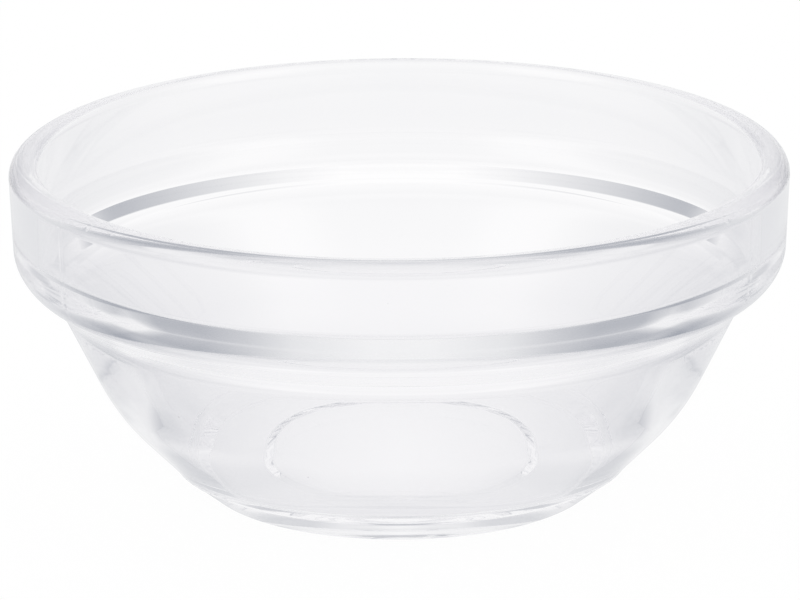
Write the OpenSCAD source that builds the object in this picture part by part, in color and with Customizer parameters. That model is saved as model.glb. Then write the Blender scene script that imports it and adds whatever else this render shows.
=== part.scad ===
// Stackable glass prep bowl, pressed in one piece.
// Millimetres, +Z up, origin at the middle of the foot, on the table.
// The whole form is one turned section: the outside from the foot up to the rim,
// then the inside from the rim down to the floor. Each corner of the section is a
// row [radius from the axis, height, fillet], and every fillet is tangent to both
// of its edges.

/* [Rim and band] */
// Diameter across the rim
rim_d = 90; // [82:0.5:110]
// Height from the table to the top of the rim
height = 39.2; // [34:0.2:50]
// Thickness of the glass at the rim
rim_wall = 3.5; // [2.8:0.1:4.5]
// Fillet on the outside of the rim
rim_out_r = 1.9; // [0.4:0.1:2.4]
// Fillet on the inside of the rim
rim_in_r = 1.2; // [0.4:0.1:2]
// Height of the straight band, from the shoulder to the top of the rim
band_h = 12.4; // [8:0.2:16]
// How far the band draws in outside, on each side, from the rim to the shoulder
band_draft = 0.55; // [0:0.05:1.5]
// How far the band draws in inside, on each side, from the rim to the step
band_in_draft = 0.15; // [0:0.05:1]

/* [Stacking shoulder, outside] */
// How far the neck lies inside the rim, on each side
shoulder_step = 5.2; // [3.5:0.05:7]
// Rise of the shoulder's underside, from the neck to the band
shoulder_rise = 3.5; // [1.5:0.1:5]
// Fillet between the shoulder's underside and the band
shoulder_r = 4.6; // [0.5:0.1:5]
// Fillet in the neck, under the shoulder
neck_r = 8.5; // [0.5:0.1:12]

/* [Stacking step, inside] */
// Height of the step's lower edge, the lip, above the neck
lip_rise = 2.1; // [1:0.1:4]
// Height of the step's slope, from the lip up to the cove
step_h = 4.8; // [2:0.1:7]
// Fillet in the cove, where the slope meets the band
cove_r = 1.5; // [0.3:0.1:6]
// Fillet on the lip, where the slope turns down into the bowl
lip_r = 3; // [0.3:0.1:5]

/* [Body] */
// Thickness of the body's wall at the neck
neck_wall = 2.5; // [2:0.1:3.5]
// Thickness of the body's wall at the bend
bend_wall = 3.2; // [2.4:0.1:3.8]
// Thickness of the body's wall below the bend
low_wall = 2.6; // [2:0.1:3.6]
// Radius of the body's bend, outside
bend_r = 24; // [5:0.5:30]
// Radius of the body's bend, inside
bend_in_r = 21; // [5:0.5:28]
// Thickness of the glass in the middle of the floor
floor_t = 3.8; // [2.5:0.1:5]
// Fillet between the floor and the inside of the wall
floor_r = 1.5; // [0.5:0.1:6]

/* [Foot] */
// Diameter of the foot, where it stands on the table
foot_d = 45; // [38:0.5:54]
// Height of the base, up to the line where it meets the body
base_h = 3.1; // [1.5:0.1:5]
// How far the base flares, on each side, over its height
base_flare = 3.9; // [1:0.1:6]
// Fillet on the edge that the bowl stands on
foot_r = 0.5; // [0.2:0.1:1.5]
// Diameter of the recess under the floor
recess_d = 32; // [16:0.5:38]
// Depth of the recess under the floor
recess_h = 0.9; // [0.3:0.1:2]
// Slope of the recess's side, measured flat
recess_run = 1.1; // [0.5:0.1:3]
// Fillets of the recess's two edges
recess_r = 0.5; // [0.2:0.1:1.2]

/* [Hidden] */

// Where the body's bend lies between the base and the neck, outwards and upwards
bend_out_share = 0.53;
bend_up_share = 0.36;
// Largest angle that one step of a fillet turns, in degrees
fillet_step_deg = 5;

rim_rad = rim_d / 2;
rim_in_rad = rim_rad - rim_wall;
shoulder_z = height - band_h;
neck_rad = rim_rad - shoulder_step;
neck_z = shoulder_z - shoulder_rise;
foot_rad = foot_d / 2;
base_rad = foot_rad + base_flare;
recess_rad = recess_d / 2;

base = [base_rad, base_h];
neck = [neck_rad, neck_z];
bend = [
    base_rad + bend_out_share * (neck_rad - base_rad),
    base_h + bend_up_share * (neck_z - base_h)
];

// The inside lies one wall thickness in from the neck and from the bend, and below
// its own bend it runs parallel to the outside, down to the floor.
inner_neck = neck + neck_wall * inward(bend, neck);
inner_wall = bend + bend_wall * inward(bend, neck);
inner_low = base + low_wall * inward(base, bend);
up = inner_neck - inner_wall;
down = base - bend;
inner_bend = meet(inner_wall, up, inner_low, down);

lip_z = neck_z + lip_rise;
lip_rad = inner_wall.x + up.x * (lip_z - inner_wall.y) / up.y;
cove_z = lip_z + step_h;
floor_z = recess_h + floor_t;
floor_rad = inner_low.x + down.x * (floor_z - inner_low.y) / down.y;

outside = [
    [0, recess_h, 0],
    [recess_rad - recess_run, recess_h, recess_r],
    [recess_rad, 0, recess_r],
    [foot_rad, 0, foot_r],
    [base.x, base.y, 0],
    [bend.x, bend.y, bend_r],
    [neck.x, neck.y, neck_r],
    [rim_rad - band_draft, shoulder_z, shoulder_r],
    [rim_rad, height, rim_out_r]
];

inside = [
    [rim_in_rad, height, rim_in_r],
    [rim_in_rad - band_in_draft, cove_z, cove_r],
    [lip_rad, lip_z, lip_r],
    [inner_bend.x, inner_bend.y, bend_in_r],
    [floor_rad, floor_z, floor_r],
    [0, floor_z, 0]
];

function at(row) = [row.x, row.y];
function towards(a, b) = (b - a) / norm(b - a);

// Direction into the glass across an outside stretch that runs up from a to b
function inward(a, b) = let (run = towards(a, b)) [-run.y, run.x];

// Point where two lines meet, each given by a point and a direction
function meet(a, along, b, across) = a + along * cross(b - a, across) / cross(along, across);

// Half of the angle between the two edges that meet at corner q
function half_angle(p, q, s) = acos(towards(q, p) * towards(q, s)) / 2;

// Length that a fillet takes from each of its two edges
function fillet_run(p, q, s, r) = r / tan(half_angle(p, q, s));

// Points of the fillet at corner q that takes the length run from each edge
function fillet_points(p, q, s, run) =
    let (
        half = half_angle(p, q, s),
        r = run * tan(half),
        from = towards(q, p),
        to = towards(q, s),
        middle = q + (from + to) / norm(from + to) * r / sin(half),
        start = q + from * run - middle,
        turn = sign(from.x * to.y - from.y * to.x) * (2 * half - 180),
        steps = max(1, ceil(abs(turn) / fillet_step_deg))
    )
    [
        for (k = [0 : steps])
            let (a = turn * k / steps)
                middle + [
                    start.x * cos(a) - start.y * sin(a),
                    start.x * sin(a) + start.y * cos(a)
                ]
    ];

// An outline with its corners filleted. Fillets that would meet on an edge share it.
function filleted(rows) =
    let (
        n = len(rows),
        runs = [
            for (i = [0 : n - 1])
                i == 0 || i == n - 1 || rows[i].z == 0 ? 0
                : fillet_run(at(rows[i - 1]), at(rows[i]), at(rows[i + 1]), rows[i].z)
        ],
        fits = [
            for (i = [0 : n - 2])
                let (both = runs[i] + runs[i + 1])
                    both == 0 ? 1 : min(1, norm(at(rows[i + 1]) - at(rows[i])) / both)
        ]
    )
    [
        for (i = [0 : n - 1])
            each runs[i] == 0 ? [at(rows[i])]
            : fillet_points(
                at(rows[i - 1]), at(rows[i]), at(rows[i + 1]),
                runs[i] * min(fits[i - 1], fits[i])
            )
    ];

module glass_bowl() {
    color([0.90, 0.93, 0.95, 0.5])
        rotate_extrude($fn = 180)
            polygon(filleted(concat(outside, inside)));
}

glass_bowl();
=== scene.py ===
"""Looks of a stackable prep bowl in clear pressed glass.

Laid out as an add-on and run as a script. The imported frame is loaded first, one operator
makes the bowl, one makes the stage, and main() calls them in order.
"""

import math
import random

import bmesh
import bpy
import numpy as np
from bpy.props import FloatProperty, FloatVectorProperty, IntProperty, PointerProperty
from bpy.types import Operator, Panel, PropertyGroup
from mathutils import Matrix, Vector, noise


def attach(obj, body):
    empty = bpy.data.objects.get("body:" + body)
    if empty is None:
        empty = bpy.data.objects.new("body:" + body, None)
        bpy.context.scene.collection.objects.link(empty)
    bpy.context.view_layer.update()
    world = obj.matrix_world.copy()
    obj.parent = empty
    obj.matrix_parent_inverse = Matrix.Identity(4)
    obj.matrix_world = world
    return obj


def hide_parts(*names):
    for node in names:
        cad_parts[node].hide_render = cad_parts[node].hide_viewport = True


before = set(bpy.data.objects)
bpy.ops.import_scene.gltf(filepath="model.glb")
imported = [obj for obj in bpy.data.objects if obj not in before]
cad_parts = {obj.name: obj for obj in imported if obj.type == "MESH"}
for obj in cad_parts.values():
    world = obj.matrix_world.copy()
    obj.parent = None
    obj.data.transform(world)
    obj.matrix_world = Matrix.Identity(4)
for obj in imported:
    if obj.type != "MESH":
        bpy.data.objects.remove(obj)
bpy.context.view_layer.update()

bl_info = {
    "name": "Prep Bowl",
    "version": (1, 0, 0),
    "blender": (4, 5, 0),
    "location": "View3D > Sidebar > Prep Bowl",
    "description": "Builds a pressed-glass stacking prep bowl on its packed frame",
    "category": "Object",
}

NODE = "glass_bowl"
BODY = "root"
MM = 0.001

# Width of the photograph, in pixels
PHOTO_W = 800

# Painted shade that only the glass sees, as cover from none, which is white, to all, which is dark:
# painted shadow of the bowl on the floor round it, and painted shade on the floor and surroundings.
# A floor patch has its cover by the distance from the axis, in millimetres, and its share of that
# by the angle from the back, to either side, in degrees. Both change evenly from point to point.
FLOOR_PAINTED_SHADE = (
    # Pale table top
    # Painted shade on the floor under and near the bowl, fading outwards
    (
        (
            (0, 0.08), (14, 0.11), (24, 0.13), (40, 0.11), (60, 0.1), (90, 0.02),
            (140, 0.04), (170, 0.07), (220, 0.05), (500, 0),
        ),
        ((0, 1), (180, 1)),
    ),
    # Faint painted shade on the floor behind, with a lighter place on each side
    (
        ((70, 0), (95, 0.04), (130, 0.04), (150, 0)),
        ((0, 1), (5, 0.9), (8, 0), (11, 0), (16, 1), (40, 1), (60, 0)),
    ),
    # Painted shade on the floor at the sides and in front, where less light falls
    (
        ((45, 0), (70, 0.3), (1400, 0.4)),
        ((12, 0), (32, 0.5), (66, 0.65), (88, 0.9), (110, 0.5), (180, 0.4)),
    ),
    # Painted shadow of the bowl on the floor: a ring round the sides and the front
    (
        ((48, 0), (54, 0.55), (64, 0.5), (78, 0.12), (150, 0.12), (220, 0)),
        ((50, 0), (66, 0.3), (84, 0.6), (100, 1), (130, 1), (150, 0.6), (180, 0.4)),
    ),
    # Darker painted shadow between that ring and the bowl, under the band
    (
        ((35, 0), (38, 0.48), (44, 0.56), (58, 0)),
        ((92, 0), (98, 0.5), (106, 1), (124, 1), (138, 0.7), (152, 0.25), (172, 0)),
    ),
    # Its ends beside the bowl, painted shadow too
    (
        ((42, 0), (45, 0.42), (50, 0.42), (58, 0)),
        ((55, 0), (70, 0.5), (84, 1), (96, 1), (106, 0)),
    ),
    # Painted contact shadow round the front of the foot
    (
        ((10, 0), (16, 0.12), (22, 0.12), (25, 0.25), (33, 0.25), (36, 0)),
        ((88, 0), (100, 0.8), (108, 1), (118, 1), (130, 0.5), (180, 0.6)),
    ),
    # Painted shade on the far floor, at the sides and in front
    (
        ((220, 0), (320, 0.45), (1400, 0.6)),
        ((20, 0), (40, 1), (180, 1)),
    ),
    # Pair of dark patches far behind, painted shade that the glass shows as dark lines
    (
        ((450, 0), (560, 0.3), (700, 0.55), (800, 0.6), (1400, 0.6)),
        ((2, 0), (4, 0.3), (7, 0.75), (10, 1), (14, 1), (18, 0)),
    ),
)
# A patch of painted shade on the dome overhead has its cover by the height over the horizon, in degrees,
# and its share likewise.
DOME_PAINTED_SHADE = (
    # Painted shade low on the dome, at the sides and in front
    (
        ((0, 0.4), (4, 0.35), (9, 0)),
        ((14, 0), (26, 1), (180, 1)),
    ),
    # Faint painted shade over most of the dome
    (
        ((0, 0.15), (5, 0.05), (10, 0.21), (26, 0.2), (36, 0.06), (90, 0.05)),
        ((0, 0.2), (6, 0.7), (24, 1), (36, 0.7), (66, 0.5), (100, 0.7), (180, 0.4)),
    ),
    # Pair of dim patches of painted shade behind
    (
        ((8, 0), (12, 0.3), (20, 0.3), (26, 0)),
        ((10, 0), (17, 0.9), (28, 1), (38, 0)),
    ),
    # Dark painted shade overhead, towards the back
    (
        ((34, 0), (40, 0.5), (75, 0.5), (85, 0)),
        ((0, 1), (12, 1), (18, 0)),
    ),
)
# Where the floor's painted shade begins, in millimetres, and where its dome overhead ends, in degrees
SHADE_FROM = 0.1
SHADE_DOME_TOP = 89
# Strength at which a glow shows its colour as written, and white as plain white
AS_WRITTEN = 1.0
# Light runs far along inside the rim before it leaves the glass.
GLASS_BOUNCES = 160

# Fewest steps of a fillet
FILLET_STEPS = 3
# Places across a mould seam that have a row of points, in seam widths, and how fast it falls off
SEAM_ROWS = (-1.5, -1, -0.5, 0, 0.5, 1, 1.5)
SEAM_FALL = 4
# The inside waves by itself, so its noise is read this many waves away.
INSIDE_SHIFT = 5

# Places of three corners in the rows of the section
BEND_ROW = 7
NECK_ROW = 8
INNER_BEND_ROW = 14
# Start of the seeds' draws, and their ranges: place from the bend to the neck, depth in half walls,
# share of the largest radius, and stretch upwards
SEED_DRAW = 7
SEED_ALONG = (-0.25, 0.95)
SEED_DEPTH = (0.8, 1.2)
SEED_SIZE = (0.35, 1)
SEED_STRETCH = (1, 1.8)


def length(label, note, millimetres):
    """A length property, given in millimetres and kept in metres."""
    return FloatProperty(
        name=label, description=note, default=millimetres * MM,
        unit="LENGTH", subtype="DISTANCE", precision=4,
    )


def angle(label, note, degrees):
    """An angle property, given in degrees and kept in radians."""
    return FloatProperty(
        name=label, description=note, default=math.radians(degrees), unit="ROTATION", subtype="ANGLE"
    )


def number(label, note, value):
    """A plain number property."""
    return FloatProperty(name=label, description=note, default=value)


def share(label, note, value):
    """A property between none and all."""
    return FloatProperty(name=label, description=note, default=value, min=0, max=1, subtype="FACTOR")


def count(label, note, value):
    """A whole-number property."""
    return IntProperty(name=label, description=note, default=value, min=0)


def colour(label, note, value):
    """A colour property, in linear light."""
    return FloatVectorProperty(
        name=label, description=note, default=value, size=3, min=0, max=1, subtype="COLOR"
    )


class PREPBOWL_PG_section(PropertyGroup):
    """Sizes of the turned section: the same ones that the solid is made from."""

    rim_d: length("Rim diameter", "Diameter across the rim", 90)
    height: length("Height", "From the table to the top of the rim", 39.2)
    rim_wall: length("Rim wall", "Thickness of the glass at the rim", 3.5)
    rim_out_r: length("Rim fillet, outside", "Fillet on the outside of the rim", 1.9)
    rim_in_r: length("Rim fillet, inside", "Fillet on the inside of the rim", 1.2)
    band_h: length("Band height", "From the shoulder to the top of the rim", 12.4)
    band_draft: length("Band draft, outside", "How far the band draws in outside", 0.55)
    band_in_draft: length("Band draft, inside", "How far the band draws in inside", 0.15)
    shoulder_step: length("Shoulder step", "How far the neck lies inside the rim", 5.2)
    shoulder_rise: length("Shoulder rise", "Rise of the shoulder's underside", 3.5)
    shoulder_r: length("Shoulder fillet", "Fillet between the shoulder and the band", 4.6)
    neck_r: length("Neck fillet", "Fillet in the neck, under the shoulder", 8.5)
    lip_rise: length("Lip rise", "Height of the inside step's lip above the neck", 2.1)
    step_h: length("Step height", "Height of the inside step's slope", 4.8)
    cove_r: length("Cove fillet", "Fillet where the slope meets the band", 1.5)
    lip_r: length("Lip fillet", "Fillet where the slope turns down into the bowl", 3)
    neck_wall: length("Wall at the neck", "Thickness of the wall at the neck", 2.5)
    bend_wall: length("Wall at the bend", "Thickness of the wall at the bend", 3.2)
    low_wall: length("Wall below the bend", "Thickness of the wall from the bend to the floor", 2.6)
    bend_r: length("Bend, outside", "Radius of the body's bend, outside", 24)
    bend_in_r: length("Bend, inside", "Radius of the body's bend, inside", 21)
    bend_out_share: share("Bend place, outwards", "Where the bend lies from the base to the neck", 0.53)
    bend_up_share: share("Bend place, upwards", "Where the bend lies from the base to the neck", 0.36)
    floor_t: length("Floor thickness", "Thickness of the glass in the middle of the floor", 3.8)
    floor_r: length("Floor fillet", "Fillet between the floor and the wall", 1.5)
    foot_d: length("Foot diameter", "Diameter of the foot on the table", 45)
    base_h: length("Base height", "Up to the line where the base meets the body", 3.1)
    base_flare: length("Base flare", "How far the base flares over its height", 3.9)
    foot_r: length("Foot fillet", "Fillet on the edge that the bowl stands on", 0.5)
    recess_d: length("Recess diameter", "Diameter of the recess under the floor", 32)
    recess_h: length("Recess depth", "Depth of the recess under the floor", 0.9)
    recess_run: length("Recess slope", "Slope of the recess's side, measured flat", 1.1)
    recess_r: length("Recess fillets", "Fillets of the recess's two edges", 0.5)


class PREPBOWL_PG_glass(PropertyGroup):
    """The marks that pressing leaves, and the finish of the glass."""

    tint: colour("Tint", "Colour of the glass surface", (0.998, 0.994, 1.0))
    body_tint: colour("Body tint", "Colour that the glass takes on with depth", (0.87, 0.855, 0.89))
    body_density: number("Body density", "How fast the glass takes on its colour, per metre", 1.5)
    ior: number("Index of refraction", "How strongly the glass bends light", 1.52)
    roughness: share("Roughness", "Roughness of the fire-polished surface", 0.0)
    skin_scale: number("Skin scale", "Fineness of the skin's waves, per metre", 90)
    skin_detail: number("Skin detail", "How many finer waves the skin has", 1.5)
    skin_depth: length("Skin depth", "Depth of the skin's waves", 0.02)
    skin_strength: share("Skin strength", "How much of the skin's waves shows", 0.02)
    arc_step: angle("Fillet step", "Largest turn of one step along a fillet", 3)
    run_step: length("Straight step", "Longest step along a straight stretch", 1.8)
    turn_step: angle("Turn step", "Step of the section around the axis", 0.6)
    ripple: length("Ripple", "Depth of the pressed surface's slow waves", 0.006)
    ripple_size: length("Ripple size", "Distance between the slow waves", 13)
    ripple_rise: length("Ripple rise", "Height over the foot at which the slow waves are full", 2)
    seam_count: count("Mould seams", "Parts of the mould's ring", 3)
    seam_at: angle("First seam", "Place of the first seam, from the front to the right", 62)
    seam_h: length("Seam height", "How far a seam stands proud", 0.012)
    seam_w: length("Seam width", "Width of a seam", 0.6)
    base_seam_h: length("Base seam height", "How far the ring over the base stands proud", 0.1)
    base_seam_w: length("Base seam width", "Half of that ring's width", 0.25)
    seed_count: count("Seeds", "Small bubbles in the glass", 10)
    seed_r: length("Seed radius", "Radius of the largest bubble", 0.12)


class PREPBOWL_PG_stage(PropertyGroup):
    """Camera, light and surroundings."""

    camera_distance: length("Camera distance", "From the camera to the bowl's axis", 819)
    camera_elevation: angle("Camera elevation", "Height of the view above the horizon", 16.745)
    camera_aim: length("Camera aim", "Height on the axis that the camera looks at", 21.67)
    camera_roll: angle("Camera roll", "Tilt of the picture", 0.357)
    focal_px: number("Focal length", "In pixels of the photograph", 7076.5)
    floor_size: length("Floor size", "Side of the floor", 3000)
    floor_drop: length("Floor gap", "Air between the foot and the floor", 0.1)
    floor_colour: colour("Floor", "Colour of the floor", (0.98, 0.98, 0.98))
    white_share: share("White share", "How much of the floor shows as plain white", 0.975)
    sky_level: number("Sky level", "Strength of the light from all round", 0.9)
    lamp_power: number("Lamp power", "Power of the soft lamp overhead, in watts", 0.8)
    lamp_size: length("Lamp size", "Side of the soft lamp", 500)
    lamp_height: length("Lamp height", "Height of the soft lamp", 700)
    # Colour, steps and distance of the painted shade and shadow that only the glass sees
    painted_shade_colour: colour("Cards", "Colour of the cards that draw the dark edges", (0.015, 0.045, 0.12))
    shade_rings: count("Card rings", "Steps of the cards outwards", 180)
    shade_turns: count("Card turns", "Steps of the cards round the bowl", 240)
    shade_dome_radius: length("Tent radius", "How far the tent stands from the bowl", 1450)


def fillet(before, corner, after, radius, step):
    """Points of a fillet that is tangent to both edges at a corner."""
    back = (before - corner).normalized()
    on = (after - corner).normalized()
    half = back.angle(on) / 2
    middle = corner + (back + on).normalized() * radius / math.sin(half)
    start = corner + back * radius / math.tan(half) - middle
    turn = math.copysign(math.pi - 2 * half, -back.cross(on))
    steps = max(FILLET_STEPS, math.ceil(abs(turn) / step))
    points = []
    for k in range(steps + 1):
        c, s = math.cos(turn * k / steps), math.sin(turn * k / steps)
        points.append(middle + Vector((start.x * c - start.y * s, start.x * s + start.y * c)))
    return points


def outline(rows, arc_step, run_step):
    """A fine outline from rows of a corner and its fillet, with the straight stretches split up."""
    points = [rows[0][0]]
    for (before, _), (corner, radius), (after, _) in zip(rows, rows[1:], rows[2:]):
        points += fillet(before, corner, after, radius, arc_step) if radius else [corner]
    points.append(rows[-1][0])
    fine = [points[0]]
    for a, b in zip(points, points[1:]):
        pieces = max(1, math.ceil((b - a).length / run_step))
        fine += [a.lerp(b, k / pieces) for k in range(1, pieces + 1)]
    return fine


def inward(low, high):
    """Unit direction into the glass from the outside, across a stretch that runs upwards."""
    run = (high - low).normalized()
    return Vector((-run.y, run.x))


def meet(a, along, b, across):
    """The point where two lines meet, each given by a point and a direction."""
    return a + along * ((b - a).cross(across) / along.cross(across))


def section_rows(s, g):
    """Corners of the section with their fillets, from the axis under the foot to the axis on the floor."""
    rim = s.rim_d / 2
    rim_in = rim - s.rim_wall
    shoulder_z = s.height - s.band_h
    neck = Vector((rim - s.shoulder_step, shoulder_z - s.shoulder_rise))
    foot = s.foot_d / 2
    base = Vector((foot + s.base_flare, s.base_h))
    bend = Vector((
        base.x + s.bend_out_share * (neck.x - base.x),
        base.y + s.bend_up_share * (neck.y - base.y),
    ))
    wall = inward(bend, neck)
    inner_neck = neck + wall * s.neck_wall
    inner_wall = bend + wall * s.bend_wall
    up = inner_neck - inner_wall
    low = bend - base
    inner_low = base + inward(base, bend) * s.low_wall
    floor_z = s.recess_h + s.floor_t
    level = Vector((1, 0))
    inner_bend = meet(inner_wall, up, inner_low, low)
    inner_floor = meet(inner_low, low, Vector((0, floor_z)), level)
    lip = meet(inner_wall, up, Vector((0, neck.y + s.lip_rise)), level)
    recess = s.recess_d / 2

    # The seam ring stands on the corner between the base and the body.
    below = (base - Vector((foot, 0))).normalized()
    above = (bend - base).normalized()
    proud = (below - above).normalized() + Vector((below.y, -below.x)) + Vector((above.y, -above.x))
    ring = base + proud.normalized() * g.base_seam_h
    ring_r = g.base_seam_h

    return [
        (Vector((0, s.recess_h)), 0),
        (Vector((recess - s.recess_run, s.recess_h)), s.recess_r),
        (Vector((recess, 0)), s.recess_r),
        (Vector((foot, 0)), s.foot_r),
        (base - below * g.base_seam_w, ring_r),
        (ring, ring_r),
        (base + above * g.base_seam_w, ring_r),
        (bend, s.bend_r),
        (neck, s.neck_r),
        (Vector((rim - s.band_draft, shoulder_z)), s.shoulder_r),
        (Vector((rim, s.height)), s.rim_out_r),
        (Vector((rim_in, s.height)), s.rim_in_r),
        (Vector((rim_in - s.band_in_draft, lip.y + s.step_h)), s.cove_r),
        (lip, s.lip_r),
        (inner_bend, s.bend_in_r),
        (inner_floor, s.floor_r),
        (Vector((0, floor_z)), 0),
    ]


def section_normals(points):
    """Outward unit normals along an outline that runs anticlockwise round the glass."""
    path = np.array(points)
    along = np.gradient(path, axis=0)
    normals = np.stack([along[:, 1], -along[:, 0]], axis=1)
    return normals / np.linalg.norm(normals, axis=1, keepdims=True)


def turn_angles(s, g):
    """Angles of the section around the axis, closer together across each mould seam."""
    steps = round(2 * math.pi / g.turn_step)
    angles = {round(2 * math.pi * k / steps, 6) for k in range(steps)}
    across = g.seam_w / (s.rim_d / 2)
    for k in range(g.seam_count):
        seam = g.seam_at + 2 * math.pi * k / g.seam_count
        for row in SEAM_ROWS:
            angles.add(round((seam + row * across) % (2 * math.pi), 6))
    return np.array(sorted(angles))


def seam_relief(angles, heights, s, g):
    """How far the vertical mould seams stand proud, strongest on the band and gone below the neck."""
    shoulder_z = s.height - s.band_h
    fade = np.clip((heights - shoulder_z + s.shoulder_rise) / s.shoulder_rise, 0, 1)
    relief = np.zeros((len(heights), len(angles)))
    for k in range(g.seam_count):
        seam = g.seam_at + 2 * math.pi * k / g.seam_count
        off = (angles - seam + math.pi) % (2 * math.pi) - math.pi
        across = off * s.rim_d / 2 / g.seam_w
        relief += g.seam_h * fade[:, None] * np.exp(-SEAM_FALL * across**2)[None, :]
    return relief


def ripple_relief(x, y, z, g):
    """Slow waves of a pressed surface."""
    size = g.ripple_size
    waves = [noise.noise(Vector(p) / size) for p in zip(x.ravel(), y.ravel(), z.ravel())]
    return g.ripple * np.array(waves).reshape(x.shape)


def glass_normals(path, normals, relief, angles):
    """Unit normals of the turned glass, bent by the slopes of its relief along and across the section."""
    run = np.concatenate([[0], np.cumsum(np.linalg.norm(np.diff(path, axis=0), axis=1))])
    climb = np.gradient(relief, run, axis=0)
    round_again = np.concatenate([[angles[-1] - 2 * math.pi], angles, [angles[0] + 2 * math.pi]])
    wrapped = np.concatenate([relief[:, -1:], relief, relief[:, :1]], axis=1)
    sway = np.gradient(wrapped, round_again, axis=1)[:, 1:-1] / path[:, :1]
    outward = normals[:, :1] + climb * normals[:, 1:]
    upward = normals[:, 1:] - climb * normals[:, :1]
    c, s = np.cos(angles), np.sin(angles)
    bent = np.stack([outward * s - sway * c, -outward * c - sway * s, upward], axis=-1)
    return bent / np.linalg.norm(bent, axis=-1, keepdims=True)


def turned_mesh(bm, s, g):
    """Turns the section round the axis, with the marks of pressing on it, and gives its normals."""
    points = outline(section_rows(s, g), g.arc_step, g.run_step)
    normals = section_normals(points)[1:-1]
    path = np.array(points)[1:-1]
    radii, heights = path[:, 0], path[:, 1]
    angles = turn_angles(s, g)
    across, away = np.sin(angles), -np.cos(angles)
    x, y = np.outer(radii, across), np.outer(radii, away)
    z = np.repeat(heights[:, None], len(angles), axis=1)
    top = int(np.argmax(heights + radii))
    outer = (np.arange(len(radii)) <= top)[:, None]
    relief = ripple_relief(x, y, np.where(outer, z, z + INSIDE_SHIFT * g.ripple_size), g)
    relief *= np.clip(heights / g.ripple_rise, 0, 1)[:, None]
    relief += np.where(outer, seam_relief(angles, heights, s, g), 0)
    reach = radii[:, None] + relief * normals[:, :1]
    lift = z + relief * normals[:, 1:]
    rings = []
    for i in range(len(radii)):
        xs, ys = reach[i] * across, reach[i] * away
        rings.append([bm.verts.new(p) for p in zip(xs, ys, lift[i])])
    turns = range(len(angles))
    for low, high in zip(rings, rings[1:]):
        for j in turns:
            bm.faces.new((low[j - 1], low[j], high[j], high[j - 1]))
    under = bm.verts.new((0, 0, points[0].y))
    floor = bm.verts.new((0, 0, points[-1].y))
    for j in turns:
        bm.faces.new((under, rings[0][j], rings[0][j - 1]))
        bm.faces.new((floor, rings[-1][j - 1], rings[-1][j]))
    bent = glass_normals(path, normals, relief, angles).reshape(-1, 3)
    return np.concatenate([bent, [(0, 0, -1), (0, 0, 1)]])


def seeds(bm, s, g):
    """Small bubbles within the wall: hollow, so their faces look inwards."""
    draw = random.Random(SEED_DRAW)
    corners = [corner for corner, _ in section_rows(s, g)]
    bend, neck = corners[BEND_ROW], corners[NECK_ROW]
    half_wall = (corners[INNER_BEND_ROW] - bend) / 2
    for _ in range(g.seed_count):
        place = bend.lerp(neck, draw.uniform(*SEED_ALONG)) + half_wall * draw.uniform(*SEED_DEPTH)
        around = draw.uniform(0, 2 * math.pi)
        radius = g.seed_r * draw.uniform(*SEED_SIZE)
        spot = Vector((place.x * math.sin(around), -place.x * math.cos(around), place.y))
        stretch = Matrix.Diagonal((1, 1, draw.uniform(*SEED_STRETCH), 1))
        made = bmesh.ops.create_icosphere(
            bm, subdivisions=2, radius=radius, matrix=Matrix.Translation(spot) @ stretch
        )
        faces = list({f for v in made["verts"] for f in v.link_faces})
        bmesh.ops.reverse_faces(bm, faces=faces)


def new_material(name):
    """A material and its empty node tree."""
    material = bpy.data.materials.new(name)
    material.use_nodes = True
    tree = material.node_tree
    tree.nodes.clear()
    return material, tree


def node(tree, kind, **inputs):
    """Adds a node and sets its sockets by name; a socket given as a value is linked."""
    made = tree.nodes.new(kind)
    for name, value in inputs.items():
        socket = made.inputs[name.replace("_", " ")]
        if isinstance(value, bpy.types.NodeSocket):
            tree.links.new(value, socket)
        else:
            socket.default_value = value
    return made


def mix(tree, part, first, second):
    """Mixes two shaders, where the socket part says how much of the second shows."""
    made = tree.nodes.new("ShaderNodeMixShader")
    tree.links.new(part, made.inputs[0])
    tree.links.new(first.outputs[0], made.inputs[1])
    tree.links.new(second.outputs[0], made.inputs[2])
    return made


def reckon(tree, operation, first, second):
    """A number worked out from a socket and from a second socket or a value."""
    made = tree.nodes.new("ShaderNodeMath")
    made.operation = operation
    tree.links.new(first, made.inputs[0])
    if isinstance(second, bpy.types.NodeSocket):
        tree.links.new(second, made.inputs[1])
    else:
        made.inputs[1].default_value = second
    return made.outputs[0]


def add_object(context, name, data):
    """An object made from its data, in the scene."""
    made = bpy.data.objects.new(name, data)
    context.scene.collection.objects.link(made)
    return made


def glass_material(g):
    """Clear soda-lime glass with a fire-polished skin that waves a little."""
    material, tree = new_material("clear_pressed_glass")
    place = node(tree, "ShaderNodeTexCoord").outputs["Object"]
    skin = node(tree, "ShaderNodeTexNoise", Vector=place, Scale=g.skin_scale, Detail=g.skin_detail)
    bump = node(
        tree, "ShaderNodeBump",
        Height=skin.outputs["Fac"], Strength=g.skin_strength, Distance=g.skin_depth,
    )
    glass = node(
        tree, "ShaderNodeBsdfPrincipled",
        Base_Color=(*g.tint, 1), Roughness=g.roughness, IOR=g.ior, Transmission_Weight=1.0,
        Normal=bump.outputs["Normal"],
    )
    shadow = node(tree, "ShaderNodeLightPath").outputs["Is Shadow Ray"]
    through = node(tree, "ShaderNodeBsdfTransparent", Color=(*g.tint, 1))
    surface = mix(tree, shadow, glass, through)
    body = node(tree, "ShaderNodeVolumeAbsorption", Color=(*g.body_tint, 1), Density=g.body_density)
    node(tree, "ShaderNodeOutputMaterial", Surface=surface.outputs[0], Volume=body.outputs[0])
    return material


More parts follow.
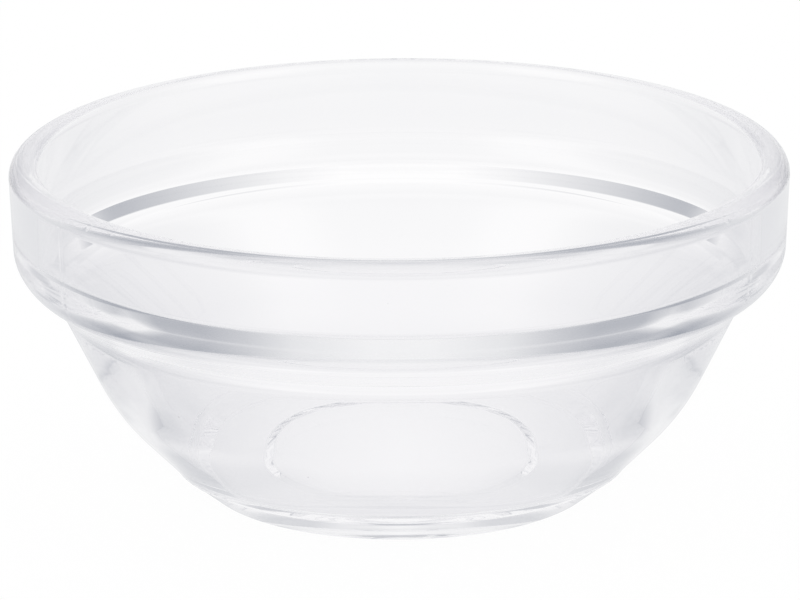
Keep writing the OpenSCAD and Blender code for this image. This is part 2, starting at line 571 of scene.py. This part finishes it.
class PREPBOWL_OT_glass_bowl(Operator):
    """Make the glass bowl, with its mould seams, ripples and seeds"""

    bl_idname = "prep_bowl.glass_bowl"
    bl_label = "Glass Bowl"

    def execute(self, context):
        s, g = context.scene.prep_bowl_section, context.scene.prep_bowl_glass
        bm = bmesh.new()
        normals = turned_mesh(bm, s, g)
        seeds(bm, s, g)
        mesh = bpy.data.meshes.new("pressed_bowl")
        bm.to_mesh(mesh)
        bm.free()
        mesh.polygons.foreach_set("use_smooth", [True] * len(mesh.polygons))
        # The seeds keep their own normals, which is what a row of zeros means.
        own = np.zeros((len(mesh.vertices) - len(normals), 3))
        mesh.normals_split_custom_set_from_vertices(np.concatenate([normals, own]))
        mesh.materials.append(glass_material(g))
        bowl = add_object(context, "pressed_bowl", mesh)
        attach(bowl, BODY)
        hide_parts(NODE)
        return {"FINISHED"}


def seen_directly(tree):
    """One where a ray comes from the camera, or from it by way of a gloss or a glass, else nothing."""
    path = node(tree, "ShaderNodeLightPath").outputs
    either = reckon(tree, "MAXIMUM", path["Is Camera Ray"], path["Is Glossy Ray"])
    return reckon(tree, "MAXIMUM", either, path["Is Transmission Ray"])


def floor_material(st):
    """A pale floor that shows as white and still takes a soft shadow. It is open from below."""
    material, tree = new_material("studio_floor")
    matte = node(tree, "ShaderNodeBsdfDiffuse", Color=(*st.floor_colour, 1))
    white = node(tree, "ShaderNodeEmission", Color=(1, 1, 1, 1), Strength=AS_WRITTEN)
    part = reckon(tree, "MULTIPLY", seen_directly(tree), st.white_share)
    lit = mix(tree, part, matte, white)
    under = node(tree, "ShaderNodeNewGeometry").outputs["Backfacing"]
    clear = node(tree, "ShaderNodeBsdfTransparent")
    both = mix(tree, under, lit, clear)
    node(tree, "ShaderNodeOutputMaterial", Surface=both.outputs[0])
    return material


def painted_shade_material(st):
    """Painted shade: a dark glow whose cover fades out towards its edges, clear elsewhere."""
    material, tree = new_material("painted_shade_glow")
    hidden = tree.nodes.new("ShaderNodeAttribute")
    hidden.attribute_name = "cover"
    dark_glow = node(tree, "ShaderNodeEmission", Color=(*st.painted_shade_colour, 1), Strength=AS_WRITTEN)
    clear = node(tree, "ShaderNodeBsdfTransparent")
    shade_surface = mix(tree, hidden.outputs["Fac"], clear, dark_glow)
    node(tree, "ShaderNodeOutputMaterial", Surface=shade_surface.outputs[0])
    return material


def add_floor(context, st):
    """A flat floor just under the foot."""
    half = st.floor_size / 2
    mesh = bpy.data.meshes.new("floor")
    corners = [(-half, -half), (half, -half), (half, half), (-half, half)]
    mesh.from_pydata([(x, y, -st.floor_drop) for x, y in corners], [], [(0, 1, 2, 3)])
    mesh.materials.append(floor_material(st))
    floor = add_object(context, "floor", mesh)


def cover(patches, across, around):
    """How much of the white surroundings the painted shade hides, over a grid of distances or heights by
    angles.
    """
    clear = np.ones((len(across), len(around)))
    for reach, turn in patches:
        clear *= 1 - np.outer(np.interp(across, *zip(*reach)), np.interp(np.abs(around), *zip(*turn)))
    return 1 - clear


def add_sheet(context, st, name, points, covers):
    """A sheet of painted shade that only the glass sees, with its cover at each point of a grid."""
    rows, columns = covers.shape
    corners = np.arange(rows * columns).reshape(rows, columns)
    faces = np.stack([corners[:-1, :-1], corners[:-1, 1:], corners[1:, 1:], corners[1:, :-1]], axis=-1)
    mesh = bpy.data.meshes.new(name)
    mesh.from_pydata(points.reshape(-1, 3).tolist(), [], faces.reshape(-1, 4).tolist())
    mesh.attributes.new("cover", "FLOAT", "POINT").data.foreach_set("value", covers.ravel())
    mesh.materials.append(painted_shade_material(st))
    sheet = add_object(context, name, mesh)
    sheet.visible_camera = False
    sheet.visible_diffuse = False
    sheet.visible_shadow = False


def add_painted_shade(context, st):
    """Painted shade that only the glass sees, which draws its dark edges: the bowl's painted shadow on a
    sheet over the floor, and painted shade on a dome overhead.
    """
    around = np.linspace(-180, 180, st.shade_turns + 1)
    back, side = np.cos(np.radians(around)), np.sin(np.radians(around))

    out = np.geomspace(SHADE_FROM, st.shade_dome_radius / MM, st.shade_rings)
    flat = np.stack(np.broadcast_arrays(
        np.outer(out * MM, side), np.outer(out * MM, back), -st.floor_drop / 2
    ), axis=-1)
    add_sheet(context, st, "painted_floor_shade", flat, cover(FLOOR_PAINTED_SHADE, out, around))

    rise = np.linspace(0, SHADE_DOME_TOP, st.shade_rings // 2)
    level, height = np.cos(np.radians(rise)), np.sin(np.radians(rise))
    dome = st.shade_dome_radius * np.stack(np.broadcast_arrays(
        np.outer(level, side), np.outer(level, back), height[:, None]
    ), axis=-1)
    add_sheet(context, st, "painted_shade_dome", dome, cover(DOME_PAINTED_SHADE, rise, around))


def add_sky(context, st):
    """Soft white light from all round, which shows as plain white."""
    world = bpy.data.worlds.new("studio")
    world.use_nodes = True
    tree = world.node_tree
    tree.nodes.clear()
    light = node(tree, "ShaderNodeBackground", Color=(1, 1, 1, 1), Strength=st.sky_level)
    white = node(tree, "ShaderNodeBackground", Color=(1, 1, 1, 1), Strength=AS_WRITTEN)
    both = mix(tree, seen_directly(tree), light, white)
    node(tree, "ShaderNodeOutputWorld", Surface=both.outputs[0])
    context.scene.world = world


def add_lamp(context, st):
    """One large soft lamp overhead."""
    lamp = bpy.data.lights.new("soft_lamp", "AREA")
    lamp.size = st.lamp_size
    lamp.energy = st.lamp_power
    holder = add_object(context, "soft_lamp", lamp)
    holder.location = (0, 0, st.lamp_height)
    holder.visible_glossy = False
    holder.visible_transmission = False


def add_camera(context, st):
    """The camera at the photograph's viewing angle."""
    data = bpy.data.cameras.new("camera")
    data.sensor_fit = "HORIZONTAL"
    data.lens = st.focal_px / PHOTO_W * data.sensor_width
    data.clip_end = st.floor_size
    camera = add_object(context, "camera", data)
    rise, turn = st.camera_elevation, math.radians(90) - st.camera_elevation
    back = Vector((0, -math.cos(rise), math.sin(rise))) * st.camera_distance
    camera.location = Vector((0, 0, st.camera_aim)) + back
    tilt = Matrix.Rotation(turn, 3, "X") @ Matrix.Rotation(-st.camera_roll, 3, "Z")
    camera.rotation_euler = tilt.to_euler()
    context.scene.camera = camera


class PREPBOWL_OT_stage(Operator):
    """Make the floor, the painted shade that only the glass sees, the light and the camera"""

    bl_idname = "prep_bowl.stage"
    bl_label = "Stage"

    def execute(self, context):
        st = context.scene.prep_bowl_stage
        add_camera(context, st)
        add_floor(context, st)
        add_painted_shade(context, st)
        add_sky(context, st)
        add_lamp(context, st)
        context.scene.view_settings.view_transform = "Standard"
        cycles = context.scene.cycles
        cycles.max_bounces = GLASS_BOUNCES
        cycles.transmission_bounces = GLASS_BOUNCES
        cycles.glossy_bounces = GLASS_BOUNCES
        return {"FINISHED"}


class PREPBOWL_PT_panel(Panel):
    """Sizes, finish and stage of the bowl"""

    bl_idname = "PREPBOWL_PT_panel"
    bl_label = "Prep Bowl"
    bl_space_type = "VIEW_3D"
    bl_region_type = "UI"
    bl_category = "Prep Bowl"

    def draw(self, context):
        layout = self.layout
        for group in ("prep_bowl_section", "prep_bowl_glass", "prep_bowl_stage"):
            box = layout.box()
            settings = getattr(context.scene, group)
            for name in settings.__annotations__:
                box.prop(settings, name)
        layout.operator(PREPBOWL_OT_glass_bowl.bl_idname)
        layout.operator(PREPBOWL_OT_stage.bl_idname)


CLASSES = (
    PREPBOWL_PG_section,
    PREPBOWL_PG_glass,
    PREPBOWL_PG_stage,
    PREPBOWL_OT_glass_bowl,
    PREPBOWL_OT_stage,
    PREPBOWL_PT_panel,
)


def register():
    """Makes the settings, operators and panel known to Blender."""
    for cls in CLASSES:
        bpy.utils.register_class(cls)
    bpy.types.Scene.prep_bowl_section = PointerProperty(type=PREPBOWL_PG_section)
    bpy.types.Scene.prep_bowl_glass = PointerProperty(type=PREPBOWL_PG_glass)
    bpy.types.Scene.prep_bowl_stage = PointerProperty(type=PREPBOWL_PG_stage)


def unregister():
    """Takes them away again."""
    del bpy.types.Scene.prep_bowl_stage
    del bpy.types.Scene.prep_bowl_glass
    del bpy.types.Scene.prep_bowl_section
    for cls in reversed(CLASSES):
        bpy.utils.unregister_class(cls)


def main():
    """Builds the bowl and its stage."""
    register()
    bpy.ops.prep_bowl.glass_bowl()
    bpy.ops.prep_bowl.stage()


if __name__ == "__main__":
    main()
